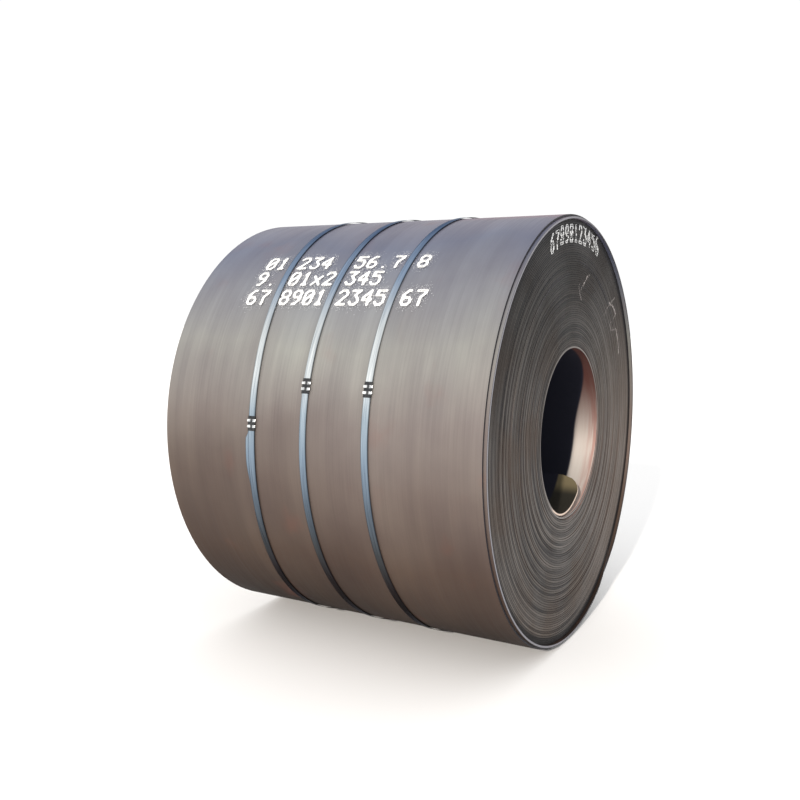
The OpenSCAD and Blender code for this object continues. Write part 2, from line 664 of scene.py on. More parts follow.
@dataclass(frozen=True)
class BoreScale:
    """Inner face of the first turn: pale and flushed with rust at the ends, black deeper inside as a painted
    shadow along the key light's shadow line.

    Attributes:
        axis_z: Height of the coil's axis.
        mouth_x: Distance of the mouths from the coil's middle.
        name: The material's name.
        streak: Width and length of the rub marks, drawn twice as wide as real ones so that they show.
        deep: Colour of the painted shadow deeper inside.
        pale: Colour of the scale near the mouths.
        pink: Colour of the flush of rust at the mouths.
        rust: Colour of the upper part.
        olive: Colour of the loose inner end.
        shaded_olive: Its painted shade at the foot.
    """

    axis_z: float
    mouth_x: float
    name: str = "burnished_bore_scale"
    streak: tuple[float, float] = (12 * MM, 600 * MM)
    deep: str = "#23242f"
    pale: str = "#c4beb7"
    pink: str = "#a67a70"
    rust: str = "#50251f"
    olive: str = "#71674f"
    shaded_olive: str = "#2f2d27"

    def material(self) -> bpy.types.Material:
        """Builds the finish.

        Returns:
            The material.
        """
        material, tree, surface = new_material(self.name)
        around = RoundCoordinates.of(tree, self.axis_z)
        streaks = around.grain(tree, *self.streak, 4)
        reach = add_node(tree, Kind.MATH, (around.along,), operation="ABSOLUTE")
        depth = add_node(tree, Kind.MATH, (self.mouth_x, reach), operation="SUBTRACT")
        mouth = add_node(tree, Kind.RANGE, (depth, 0.0, 0.08, 0.85, 0.08), **SMOOTH)
        marks = add_node(tree, Kind.RANGE, (streaks, 0.36, 0.62, 0.2, 1.0), **SMOOTH)
        flush = add_node(tree, Kind.MATH, (mouth, marks), operation="MULTIPLY")
        shade = add_node(tree, Kind.MIX, {SHARE: flush, UNDER: self.pale, OVER: self.pink}, **COVER)
        upper_range = (around.height, self.axis_z - 0.2, self.axis_z + 0.24, 0.0, 0.93)
        upper = add_node(tree, Kind.RANGE, upper_range, **SMOOTH)
        shade = add_node(tree, Kind.MIX, {SHARE: upper, UNDER: shade, OVER: self.rust}, **COVER)
        turn = add_node(tree, Kind.ATTRIBUTE, attribute_name="turn").outputs["Fac"]
        loose = add_node(tree, Kind.RANGE, (turn, 0.8, 0.86, 1.0, 0.0), **SMOOTH)
        # The loose end is olive where it is lit and in painted shade at its foot.
        foot_range = (around.height, self.axis_z - 0.31, self.axis_z - 0.265, 0.0, 1.0)
        foot = add_node(tree, Kind.RANGE, foot_range, **SMOOTH)
        tongue = add_node(tree, Kind.MIX, {SHARE: foot, UNDER: self.shaded_olive, OVER: self.olive}, **COVER)
        shade = add_node(tree, Kind.MIX, {SHARE: loose, UNDER: shade, OVER: tongue}, **COVER)
        # How far in the lit band reaches before the painted shadow starts: furthest on the lower half, along
        # the key light's shadow line.
        lit_depth_range = (around.height, self.axis_z - 0.05, self.axis_z + 0.33, 0.112, 0.035)
        lit_depth = add_node(tree, Kind.RANGE, lit_depth_range, **SMOOTH)
        beyond = add_node(tree, Kind.MATH, (depth, lit_depth), operation="SUBTRACT")
        painted_bore_shadow = add_node(tree, Kind.RANGE, (beyond, 0.0, 0.012, 0.0, 1.0), **SMOOTH)
        shade = add_node(tree, Kind.MIX, {SHARE: painted_bore_shadow, UNDER: shade, OVER: self.deep}, **COVER)
        feed(tree, surface, {"Base Color": shade, "Roughness": 0.5})
        feed(tree, surface, {"Metallic": 0.3, "Specular IOR Level": 0.25})
        return material


@dataclass(frozen=True)
class StrapSteel:
    """Zinc-coated steel strapping: drawn lengthways, with a painted highlight at mid-height, a painted sky
    reflection above and dust and painted shade below.

    Attributes:
        axis_z: Height of the coil's axis.
        name: The material's name.
        heights: Colours by height, as a share of the coil's: dust and painted shade low down, a painted
            highlight at mid-height, a painted sky reflection at the top.
        drawn: Width and length of the drawing lines, drawn coarser than real ones so that they show.
        edge: Colour of the painted shade along both edges.
        tint: Tint of its glancing reflections.
    """

    axis_z: float
    name: str = "zinc_coated_strapping"
    heights: tuple[tuple[float, str], ...] = (
        (0.0, "#2a211b"),
        (0.1, "#392e27"),
        (0.19, "#423b37"),
        (0.28, "#4d5052"),
        (0.38, "#65717d"),
        (0.48, "#8c9dad"),
        (0.57, "#b2c1cb"),
        (0.65, "#e4e9e9"),
        (0.75, "#dde2e2"),
        (0.85, "#97a9bf"),
        (1.0, "#677895"),
    )
    drawn: tuple[float, float] = (4 * MM, 200 * MM)
    edge: str = "#1e1f24"
    tint: str = "#8f96a3"

    def material(self) -> bpy.types.Material:
        """Builds the finish.

        Returns:
            The material.
        """
        material, tree, surface = new_material(self.name)
        around = RoundCoordinates.of(tree, self.axis_z)
        height = add_node(tree, Kind.MATH, (around.height, 0.5 / self.axis_z), operation="MULTIPLY")
        # Colours by height: dust and painted shade low down, a painted highlight at mid-height and a painted
        # sky reflection at the top.
        shade = add_node(tree, Kind.RAMP, (height,), ramp=self.heights)
        drawn = around.grain(tree, *self.drawn)
        lines = add_node(tree, Kind.RAMP, (drawn,), ramp=((0.3, "#c8ccd2"), (0.7, "#ffffff")))
        shade = add_node(tree, Kind.MIX, {SHARE: 1.0, UNDER: shade, OVER: lines}, **DARKEN)
        # Painted shade lies along both edges, more on the side turned to the marked end.
        across = add_node(tree, Kind.ATTRIBUTE, attribute_name="across").outputs["Fac"]
        for start, end, low, high in ((0.62, 0.97, 0.0, 0.75), (-0.97, -0.75, 0.6, 0.0)):
            painted_edge_shade = add_node(tree, Kind.RANGE, (across, start, end, low, high), **SMOOTH)
            shade = add_node(tree, Kind.MIX, {SHARE: painted_edge_shade, UNDER: shade, OVER: self.edge}, **COVER)
        roughness = add_node(tree, Kind.RANGE, (drawn, 0.3, 0.7, 0.26, 0.4), **SMOOTH)
        feed(tree, surface, {"Base Color": shade, "Roughness": roughness})
        feed(tree, surface, {"Metallic": 0.9, "Specular Tint": self.tint})
        return material


@dataclass(frozen=True)
class SealSteel:
    """Pressed zinc-coated sheet: white on the crimped tabs, in painted shade in the hollows between them."""

    name: str = "pressed_zinc_sheet"
    bright: str = "#f3f5f5"
    scuffed: str = "#b4b8ba"
    hollow: str = "#1c1d20"
    scuffs_per_m: float = 90.0

    def material(self) -> bpy.types.Material:
        """Builds the finish.

        Returns:
            The material.
        """
        material, tree, surface = new_material(self.name)
        place = add_node(tree, Kind.PLACE).outputs["Object"]
        scuffs = add_node(tree, Kind.NOISE, {"Vector": place, "Scale": self.scuffs_per_m, "Detail": 3.0})
        shade = add_node(tree, Kind.RAMP, (scuffs,), ramp=((0.36, self.scuffed), (0.56, self.bright)))
        # Painted shade in the hollows between the tabs and along the middle valley.
        hollow = add_node(tree, Kind.ATTRIBUTE, attribute_name="hollow").outputs["Fac"]
        dark = add_node(tree, Kind.RANGE, (hollow, 0.1, 1.0, 0.0, 0.95), **SMOOTH)
        shade = add_node(tree, Kind.MIX, {SHARE: dark, UNDER: shade, OVER: self.hollow}, **COVER)
        feed(tree, surface, {"Base Color": shade, "Roughness": 0.3, "Metallic": 0.8})
        return material


@dataclass(frozen=True)
class Marking:
    """A thin matt layer that marks the steel, slightly uneven in its cover.

    Attributes:
        name: The material's name.
        colour: Colour where it covers well.
        thin: Colour where the steel shows through.
        spots_per_m: How many thin spots there are in a metre.
        roughness: Its roughness.
    """

    name: str
    colour: str
    thin: str
    spots_per_m: float
    roughness: float

    def material(self) -> bpy.types.Material:
        """Builds the finish.

        Returns:
            The material.
        """
        material, tree, surface = new_material(self.name)
        place = add_node(tree, Kind.PLACE).outputs["Object"]
        cover = add_node(tree, Kind.NOISE, {"Vector": place, "Scale": self.spots_per_m, "Detail": 2.0})
        shade = add_node(tree, Kind.RAMP, (cover,), ramp=((0.35, self.thin), (0.6, self.colour)))
        feed(tree, surface, {"Base Color": shade, "Roughness": self.roughness})
        return material


# Marking paint is blown on in drops and dries matt; its overspray is thinner and lets the scale through.
MARKING_PAINT = Marking("white_marking_paint", "#f4f5f4", "#d9dadb", 90.0, 0.7)
OVERSPRAY = Marking("white_paint_overspray", "#d4d5d7", "#b5b7ba", 90.0, 0.7)
# Chalk is soft and dull, and catches only on the highest grains of the edges.
CHALK = Marking("marking_chalk", "#a39c9a", "#6f6967", 60.0, 0.9)


@dataclass(frozen=True)
class StudioFloor:
    """Matt pale floor paint, quite even."""

    name: str = "pale_floor_paint"
    colour: str = "#fbfbfb"

    def material(self) -> bpy.types.Material:
        """Builds the finish.

        Returns:
            The material.
        """
        material, tree, surface = new_material(self.name)
        feed(tree, surface, {"Base Color": self.colour, "Roughness": 0.9, "Specular IOR Level": 0.1})
        return material


# ---------------------------------------------------------------- the coil


def coil_axis_z() -> float:
    """Height of the coil's axis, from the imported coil."""
    low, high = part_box("coil")
    return (low.z + high.z) / 2


@dataclass
class WoundStrip:
    """The coil: one strip wound on itself from its loose inner end to its outer tail.

    Winding angles are in degrees, grow outwards along the strip, and equal the angle round the axis
    plus whole turns. Each turn lies on the one inside it and climbs by one thickness where the tail ends.

    Attributes:
        strip_t: Thickness of the strip.
        strip_w: Its width.
        edge_wear: Size of its worn corners.
        bore_r: Radius of the bore.
        turns: How many turns there are.
        turn_gap: Air between one turn and the next.
        rim_proud: How far the last turn but one stands out at the near end.
        outer_proud: How far the outermost turn does.
        set_back: How far all the turns inside those sit back.
        wander: How far these wander to either side.
        waves: Share and degrees per turn of the two waves that the wander is made of.
        calm_from: The first of the last turns, which were wound at full tension and lie more evenly.
        calm: What is left of the wander there.
        climb_start: Angle at which the outer end lies, and at which each turn starts to climb.
        climb_span: Degrees over which it climbs.
        late_climb_start: Angle at which the first turn starts to climb, to pass under the loose end.
        late_climb_span: Degrees over which it does.
        take_off: Angle at which the loose inner end leaves the bore's wall.
        loose_r: Radius to which the loose end is curled.
        loose_length: Its length.
        loose_corner: Radius of its rounded corners.
        loose_rings: Sections along it.
        ring_step: Degrees between two sections of the wound part.
        axis_z: Height of the axis.
    """

    strip_t: float = 9.5 * MM
    strip_w: float = 1520 * MM
    edge_wear: float = 1.4 * MM
    bore_r: float = 381 * MM
    turns: int = 61
    turn_gap: float = 0.05 * MM
    rim_proud: float = 9 * MM
    outer_proud: float = -4 * MM
    set_back: float = 6 * MM
    wander: float = 3 * MM
    waves: tuple[tuple[float, float], ...] = ((0.6, 37.0), (0.4, 101.0))
    calm_from: int = 45
    calm: float = 0.2
    climb_start: float = 222.0
    climb_span: float = 24.0
    late_climb_start: float = 265.0
    late_climb_span: float = 35.0
    take_off: float = 306.0
    loose_r: float = 270 * MM
    loose_length: float = 442 * MM
    loose_corner: float = 90 * MM
    loose_rings: int = 32
    ring_step: float = 2.43
    axis_z: float = field(default_factory=coil_axis_z)

    @property
    def pitch(self) -> float:
        """Thickness of a turn with the air to the next."""
        return self.strip_t + self.turn_gap

    @property
    def tail(self) -> float:
        """Winding angle of the strip's outer end."""
        return self.climb_start + 360 * self.turns

    def layer(self, winding: np.ndarray) -> np.ndarray:
        """Which turn, counted from the innermost, the strip lies on.

        Args:
            winding: Winding angles.

        Returns:
            The turn at each angle, with fractions where it climbs.
        """
        past = (winding - self.climb_start) / 360
        whole = np.floor(past)
        level = whole - 1 + smooth_step((past - whole) * 360 / self.climb_span)
        # The first turn climbs late, just before it has to pass under the loose end.
        late = smooth_step((winding - 360 - self.late_climb_start) / self.late_climb_span)
        return np.maximum(np.where(winding < self.take_off + 360, late, level), 0)

    def slip(self, layer: np.ndarray) -> np.ndarray:
        """Sideways place of each turn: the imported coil's, with less wander in the last turns.

        Args:
            layer: Turns, with fractions.

        Returns:
            The shift along X of each.
        """
        index = np.arange(self.turns)
        wave = sum(share * np.sin(np.radians(step * index)) for share, step in self.waves)
        slips = self.wander * wave * np.where(index < self.calm_from, 1.0, self.calm) - self.set_back
        slips[-2:] = self.rim_proud, self.outer_proud
        middle = (slips.max() + slips.min()) / 2
        return np.interp(layer, index, slips - middle)

    def inner_radius(self, winding: np.ndarray) -> np.ndarray:
        """Radius of the strip's inner face at each winding angle."""
        return self.bore_r + self.pitch * self.layer(winding)

    def outer_winding(self, angle: np.ndarray | float) -> np.ndarray:
        """Winding angle, on the outermost turn, of a place round the coil."""
        return self.tail - np.mod(self.tail - np.asarray(angle, float), 360)

    def outside_radius(self, angle: np.ndarray | float) -> np.ndarray:
        """Radius of the coil's outer face at each angle round it."""
        return self.inner_radius(self.outer_winding(angle)) + self.strip_t

    def near_x(self, layer: np.ndarray | float) -> np.ndarray:
        """Where the strip's near edge lies on each turn."""
        return self.strip_w / 2 + self.slip(np.asarray(layer, float))

    def path(self) -> tuple[StripPath, np.ndarray]:
        """Works out where the strip runs.

        Returns:
            The path and the winding angle of each of its rings.
        """
        loose_sweep = math.degrees(self.loose_length / self.bore_r)
        loose = np.linspace(self.take_off - loose_sweep, self.take_off, self.loose_rings, endpoint=False)
        wound = np.linspace(self.take_off, self.tail, int((self.tail - self.take_off) / self.ring_step))
        winding = np.concatenate([loose, wound])
        along = np.radians(self.take_off - winding) * self.bore_r
        is_loose = winding < self.take_off
        turned = np.radians(np.where(is_loose, self.take_off, winding))
        turned -= np.where(is_loose, along / self.loose_r, 0)
        outward = np.stack([-np.cos(turned), np.sin(turned)], axis=1)
        start = math.radians(self.take_off)
        pivot = (self.bore_r - self.loose_r) * np.array([-math.cos(start), math.sin(start)])
        radius = np.where(is_loose, self.loose_r, self.inner_radius(winding))
        centre = np.where(is_loose[:, None], pivot, 0.0) + np.array([0.0, self.axis_z])
        from_end = np.clip(self.loose_length - along, 0, self.loose_corner)
        cut = self.loose_corner - np.sqrt(self.loose_corner**2 - (self.loose_corner - from_end) ** 2)
        cut[~is_loose] = 0
        foot = centre + outward * radius[:, None]
        return StripPath(foot, outward, self.slip(self.layer(winding)), cut), winding

    def build(self) -> bpy.types.Object:
        """Models the strip.

        Returns:
            The wound strip, with its turns and the grime and painted shade of its grooves stored for the
            finish.
        """
        path, winding = self.path()
        strip = swept_bar("wound_strip", self.strip_w, self.strip_t, self.edge_wear, len(winding))
        section = coordinates(strip.data)[:SECTION_CORNERS]
        lay_along(strip, path)
        store(strip.data, "turn", np.repeat(winding / 360, len(section)))
        # The chamfers between the turns take grime and painted shade in the finish.
        groove = (np.abs(section[:, 0]) < self.strip_w / 2 - self.edge_wear / 2).astype(float)
        store(strip.data, "groove", np.tile(groove, len(winding)))
        smooth_shading(strip)
        self.sort_faces(strip)
        return strip

    def sort_faces(self, strip: bpy.types.Object) -> None:
        """Gives each face the number of its finish.

        Args:
            strip: The wound strip. Its last two faces close its ends.
        """
        outer, edge, bore = range(3)
        count = len(strip.data.polygons)
        normals = np.empty(count * 3)
        centres = np.empty(count * 3)
        strip.data.polygons.foreach_get("normal", normals)
        strip.data.polygons.foreach_get("center", centres)
        normals = normals.reshape(-1, 3)
        centres = centres.reshape(-1, 3) - np.array([0, 0, self.axis_z])
        radius = np.hypot(centres[:, 1], centres[:, 2])
        inwards = (normals[:, 1:] * centres[:, 1:]).sum(axis=1) < 0
        number = np.where(np.abs(normals[:, 0]) > 0.3, edge, outer)
        number[(number == outer) & inwards & (radius < self.bore_r + 1.5 * self.pitch)] = bore
        number[-2:] = edge
        strip.data.polygons.foreach_set("material_index", number.astype(np.int32))

    def dress(self, strip: bpy.types.Object) -> None:
        """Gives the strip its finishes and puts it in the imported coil's stead."""
        finishes = [
            MillScale(self.axis_z),
            StripEdge(self.axis_z, self.turns),
            BoreScale(self.axis_z, self.strip_w / 2),
        ]
        finish_piece(strip, [finish.material() for finish in finishes])
        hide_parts("coil")


# ---------------------------------------------------------------- straps and seals


@dataclass
class Strap:
    """One steel strap: a full turn round the coil whose ends lie on each other at the seal.

    Attributes:
        coil: The coil that it holds.
        side: Which strap it is.
        seal_angle: Angle of its seal.
        seal_shift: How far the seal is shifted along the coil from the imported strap's place.
        drift: How far the strap has drifted along the coil where it is furthest from its seal.
        step_aside: How far it steps aside below its seal, from under its free end.
        step_down: Degrees over which it steps aside.
        step_back_from: Degrees below the seal at which it starts to come back.
        step_back: Degrees over which it comes back.
        width: Its width.
        thickness: Its thickness.
        corner: Size of its worn corners.
        seat: Clearance under it.
        seal_l: Length of its seal.
        tail_l: Length of its free end below the seal.
        lap_l: Length over which it lies double above the seal.
        climb: Degrees over which it climbs on to itself.
        bridge: Degrees over which it bridges the step at the strip's outer end.
        ring_step: Degrees between two of its sections.
    """

    coil: WoundStrip
    side: str
    seal_angle: float
    seal_shift: float = 0.0
    drift: float = 0.0
    step_aside: float = 0.0
    step_down: float = 2.0
    step_back_from: float = 7.0
    step_back: float = 9.0
    width: float = 32 * MM
    thickness: float = 1 * MM
    corner: float = 0.3 * MM
    seat: float = 0.2 * MM
    seal_l: float = 62 * MM
    tail_l: float = 9 * MM
    lap_l: float = 110 * MM
    climb: float = 5.0
    bridge: float = 8.1
    ring_step: float = 1.0

    @property
    def node(self) -> str:
        """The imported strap's name."""
        return f"strap_{self.side}"

    @property
    def x(self) -> float:
        """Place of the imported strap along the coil."""
        low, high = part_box(self.node)
        return (low.x + high.x) / 2

    def foot_radius(self, angle: np.ndarray) -> np.ndarray:
        """Radius at which the strap's inner face lies on the coil.

        Args:
            angle: Angles round the coil, in degrees.

        Returns:
            The radius at each. Below the strip's tail the tight strap runs straight to the turn beneath.
        """
        below_tail = np.mod(angle - self.coil.tail, 360)
        low = self.coil.outside_radius(self.coil.tail + 0.01)
        straight = low / np.cos(np.radians(np.clip(self.bridge - below_tail, 0, self.bridge)))
        lifted = np.where(below_tail < self.bridge, straight, 0)
        return np.maximum(self.coil.outside_radius(angle), lifted) + self.seat

    def side_place(self, angle: np.ndarray) -> np.ndarray:
        """Place along X: the strap is straight at its seal and drifts a little round the coil."""
        away = np.mod(angle - self.seal_angle + 180, 360) - 180
        # The whole drift is reached 75 degrees from the seal.
        share = np.sin(np.radians(np.clip(1.2 * np.abs(away), 0, 90))) ** 2
        return self.x + self.seal_shift + self.drift * share

    def build(self) -> bpy.types.Object:
        """Models the strap.

        Returns:
            The strap.
        """
        radius = float(self.coil.outside_radius(self.seal_angle))
        top = self.seal_angle + math.degrees((self.seal_l / 2 + self.lap_l) / radius)
        sweep = 360 + math.degrees((self.seal_l + self.tail_l + self.lap_l) / radius)
        run = np.linspace(0, sweep, int(sweep / self.ring_step))
        angle = top - run
        lift = self.thickness * smooth_step((run - 360 + self.climb) / self.climb)
        turned = np.radians(angle)
        outward = np.stack([-np.cos(turned), np.sin(turned)], axis=1)
        foot = outward * (self.foot_radius(angle) + lift)[:, None] + np.array([0.0, self.coil.axis_z])
        strap = swept_bar(f"{self.node}_band", self.width, self.thickness, self.corner, len(run))
        section = coordinates(strap.data)[:SECTION_CORNERS]
        # Only the first pass, which lies under the free end, steps aside.
        below = self.seal_angle - math.degrees(self.seal_l / 2 / radius) - angle
        aside = smooth_step(below / self.step_down)
        aside *= 1 - smooth_step((below - self.step_back_from) / self.step_back)
        place = self.side_place(angle) + np.where(run < 180, self.step_aside * aside, 0)
        lay_along(strap, StripPath(foot, outward, place, np.zeros_like(run)))
        store(strap.data, "across", np.tile(section[:, 0] / (self.width / 2), len(run)))
        smooth_shading(strap)
        return strap

    def dress(self, strap: bpy.types.Object) -> None:
        """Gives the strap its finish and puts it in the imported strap's stead."""
        finish_piece(strap, [StrapSteel(self.coil.axis_z).material()])
        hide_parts(self.node)


@dataclass
class Seal:
    """One pressed seal over the doubled strap, with crimped tabs bent out at both sides.

    Attributes:
        strap: The strap that it closes.
        sheet: Thickness of its sheet.
        clearance: Clearance to the strap.
        crimp_pitch: Distance between its two crimps.
        tab_l: Length of a tab.
        slit: Width of the slits at both ends of a tab.
        notch_depth: How far the slits reach in from the side.
        skirt: Height of its sides.
        flare: How far a tab's lower edge stands out.
        root_lift: How far a tab's root is lifted, as a share of the skirt.
        edge_lift: How much further its lower edge is.
        dent: Depth of the dent between the tabs of a crimp.
        valley: Half the width of the valley along its middle that is painted in shade.
        round_w: Width of its rounded edges.
    """

    strap: Strap
    sheet: float = 1.2 * MM
    clearance: float = 0.4 * MM
    crimp_pitch: float = 24 * MM
    tab_l: float = 10 * MM
    slit: float = 1.2 * MM
    notch_depth: float = 5 * MM
    skirt: float = 2.6 * MM
    flare: float = 4.5 * MM
    root_lift: float = 0.6
    edge_lift: float = 0.7
    dent: float = 0.8 * MM
    valley: float = 3 * MM
    round_w: float = 0.25 * MM

    @property
    def node(self) -> str:
        """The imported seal's name."""
        return f"seal_{self.strap.side}"

    @property
    def top(self) -> float:
        """Height of the sheet's underside over the strap's foot."""
        return 2 * self.strap.thickness + self.clearance

    def off_crimp(self, y: float | np.ndarray) -> float | np.ndarray:
        """How far a place along the seal lies from the middle of the nearest crimp."""
        return abs(abs(y) - self.crimp_pitch / 2)

    def build(self) -> bpy.types.Object:
        """Models the seal flat, then bends it round the coil.

        Returns:
            The seal.
        """
        half_w = self.strap.width / 2 + self.clearance
        half_l = self.strap.seal_l / 2
        half_tab = self.tab_l / 2
        near = 0.001 * MM
        deselect_all()
        bpy.ops.mesh.primitive_plane_add(size=1, location=(0, 0, self.top))
        seal = bpy.context.object
        seal.name = f"{self.node}_sheet"
        bpy.ops.object.transform_apply(location=True)
        bpy.ops.object.mode_set(mode="EDIT")
        bpy.ops.transform.resize(value=(2 * half_w, 2 * half_l, 1), center_override=(0, 0, self.top))
        rows = [
            side * self.crimp_pitch / 2 + edge
            for side in (-1, 1)
            for edge in (-half_tab - self.slit, -half_tab, 0, half_tab, half_tab + self.slit)
        ]
        columns = (self.notch_depth - half_w, -self.valley, self.valley, half_w - self.notch_depth)
        cuts = [((0, y, self.top), (0, 1, 0)) for y in rows]
        cuts += [((x, 0, self.top), (1, 0, 0)) for x in columns]
        for place, direction in cuts:
            bpy.ops.mesh.select_all(action="SELECT")
            bpy.ops.mesh.bisect(plane_co=place, plane_no=direction)
        pick(seal, Element.EDGE, lambda p: abs(abs(p.x) - half_w) < near)
        bpy.ops.mesh.extrude_edges_move(TRANSFORM_OT_translate={"value": (0, 0, -self.skirt)})
        pick(
            seal,
            Element.FACE,
            lambda p: half_tab < self.off_crimp(p.y) < half_tab + self.slit
            and abs(p.x) > half_w - self.notch_depth,
        )
        bpy.ops.mesh.delete(type="FACE")
        for side in (-1, 1):
            pick(
                seal,
                Element.VERT,
                lambda p: self.off_crimp(p.y) < half_tab + near and side * p.x > half_w - near,
            )
            bpy.ops.transform.translate(value=(side * self.flare / 2, 0, self.root_lift * self.skirt))
            pick(
                seal,
                Element.VERT,
                lambda p: self.off_crimp(p.y) < half_tab + near
                and side * p.x > half_w
                and p.z < self.top - 0.2 * self.skirt,
            )
            bpy.ops.transform.translate(value=(side * self.flare / 2, 0, self.edge_lift * self.skirt))
        pick(seal, Element.VERT, lambda p: self.off_crimp(p.y) < near and abs(p.x) < half_w - near)
        bpy.ops.transform.translate(value=(0, 0, -self.dent))
        bpy.ops.object.mode_set(mode="OBJECT")
        face_outwards(seal)
        apply_modifier(seal, "SOLIDIFY", thickness=self.sheet, offset=1.0, use_even_offset=True)
        apply_modifier(seal, "BEVEL", width=self.round_w, segments=2, limit_method="ANGLE")
        self.bend_round(seal)
        smooth_shading(seal)
        return seal

    def bend_round(self, seal: bpy.types.Object) -> None:
        """Bends the flat seal round the coil at its place.

        Args:
            seal: The seal, flat, with its length along Y and its height along Z.
        """
        flat = coordinates(seal.data)
        # Solidify may thicken the sheet downwards, and it is then raised off the strap.
        if flat[:, 2].max() < self.top + 0.5 * self.sheet:
            flat[:, 2] += self.sheet
        # Where the seal is painted in shade: the hollows between the tabs and the valley along its middle.
        hollow = smooth_step((self.off_crimp(flat[:, 1]) - self.tab_l / 2) / self.slit)
        valley = np.abs(flat[:, 0]) < self.valley + 0.3 * MM
        store(seal.data, "hollow", np.maximum(hollow, np.where(valley, 0.9, 0)))
        foot = float(self.strap.foot_radius(np.array([self.strap.seal_angle]))[0])
        angle = math.radians(self.strap.seal_angle) + flat[:, 1] / foot
        radius = foot + flat[:, 2]
        bent = np.empty_like(flat)
        bent[:, 0] = flat[:, 0] + self.strap.side_place(np.array([self.strap.seal_angle]))[0]
        bent[:, 1] = -radius * np.cos(angle)
        bent[:, 2] = radius * np.sin(angle) + self.strap.coil.axis_z
        set_coordinates(seal.data, bent)
        face_outwards(seal)

    def dress(self, seal: bpy.types.Object) -> None:
        """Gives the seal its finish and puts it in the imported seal's stead."""
        finish_piece(seal, [SealSteel().material()])
        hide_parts(self.node)


# ---------------------------------------------------------------- marks

DIGITS = {
    "0": (".###.", "#...#", "#..##", "#.#.#", "##..#", "#...#", ".###."),
    "1": ("..#..", ".##..", "..#..", "..#..", "..#..", "..#..", ".###."),
    "2": (".###.", "#...#", "....#", "...#.", "..#..", ".#...", "#####"),
    "3": ("#####", "...#.", "..#..", "...#.", "....#", "#...#", ".###."),
    "4": ("...#.", "..##.", ".#.#.", "#..#.", "#####", "...#.", "...#."),
    "5": ("#####", "#....", "####.", "....#", "....#", "#...#", ".###."),
    "6": ("..##.", ".#...", "#....", "####.", "#...#", "#...#", ".###."),
    "7": ("#####", "....#", "...#.", "..#..", "..#..", "..#..", "..#.."),
    "8": (".###.", "#...#", "#...#", ".###.", "#...#", "#...#", ".###."),
    "9": (".###.", "#...#", "#...#", ".####", "....#", "...#.", ".##.."),
    ".": (".....", ".....", ".....", ".....", ".....", ".....", "..#.."),
    "x": (".....", ".....", "#...#", ".#.#.", "..#..", ".#.#.", "#...#"),
}


def dots_of(character: str) -> list[tuple[float, float]]:
    """Dots that draw one character in a field five wide and seven high.

    Args:
        character: A digit, a point or a times sign.

    Returns:
        Column and row of each dot, as shares of the field from its lower left corner.
    """
    cells = {
        (column, row)
        for row, line in enumerate(DIGITS[character])
        for column, dot in enumerate(line)
        if dot == "#"
    }
    dots = set(cells)
    for column, row in cells:
        for right, down in ((1, 0), (0, 1), (1, 1), (-1, 1)):
            if (column + right, row + down) in cells:
                dots.add((column + right / 2, row + down / 2))
    return [(column / 4, 1 - row / 6) for column, row in sorted(dots)]


@dataclass
class Drops:
    """Small flat drops that are laid on the coil's outer face and on its near edges.

    Attributes:
        coil: The coil that they lie on.
        height: Height of a drop.
        proud: How far its middle stands off the steel, so that its foot is in it.
        dome: Size of its top beside its foot.
    """

    coil: WoundStrip
    height: float = 0.3 * MM
    proud: float = 0.1 * MM
    dome: float = 0.82

    def drop(self, width: float, length: float, sides: int) -> bpy.types.Object:
        """Models one drop, flat below and slightly domed.

        Args:
            width: Its size along its own X.
            length: Its size along its own Y.
            sides: How many sides it has.

        Returns:
            The drop, lying flat at the origin.
        """
        deselect_all()
        bpy.ops.mesh.primitive_cylinder_add(vertices=sides, radius=0.5, depth=self.height)
        drop = bpy.context.object
        bpy.ops.object.mode_set(mode="EDIT")
        bpy.ops.transform.resize(value=(width, length, 1))
        pick(drop, Element.FACE, lambda p: p.z > self.height / 4)
        bpy.ops.transform.resize(value=(self.dome, self.dome, 1))
        bpy.ops.object.mode_set(mode="OBJECT")
        return drop

    def on_front(self, x: float, angle: float, size: float = 1.0) -> Matrix:
        """Place of a drop on the coil's outer face.

        Args:
            x: Place along the coil.
            angle: Angle round it, in degrees.
            size: Size of the drop beside the pattern's.

        Returns:
            The place.
        """
        turned = math.radians(angle)
        radius = float(self.coil.outside_radius(angle)) + self.proud
        outward = Vector((0, -math.cos(turned), math.sin(turned)))
        upward = Vector((0, math.sin(turned), math.cos(turned)))
        place = Matrix((Vector((1, 0, 0)) * size, upward * size, outward)).transposed().to_4x4()
        place.translation = outward * radius + Vector((x, 0, self.coil.axis_z))
        return place

    def on_end(self, radius: float, angle: float, size: float = 1.0) -> Matrix:
        """Place of a drop on the near edge of the turn that runs at a place on the end face.

        Args:
            radius: Distance from the axis.
            angle: Angle round it, in degrees.
            size: Size of the drop beside the pattern's.

        Returns:
            The place, in the middle of the turn's edge.
        """
        layer = math.floor((radius - self.coil.bore_r) / self.coil.pitch)
        middle = self.coil.bore_r + self.coil.pitch * layer + self.coil.strip_t / 2
        turned = math.radians(angle)
        outward = Vector((0, -math.cos(turned), math.sin(turned)))
        onward = Vector((0, math.sin(turned), math.cos(turned)))
        place = Matrix((onward * size, outward * size, Vector((1, 0, 0)))).transposed().to_4x4()
        edge = Vector((float(self.coil.near_x(layer)) + self.proud, 0, self.coil.axis_z))
        place.translation = outward * middle + edge
        return place


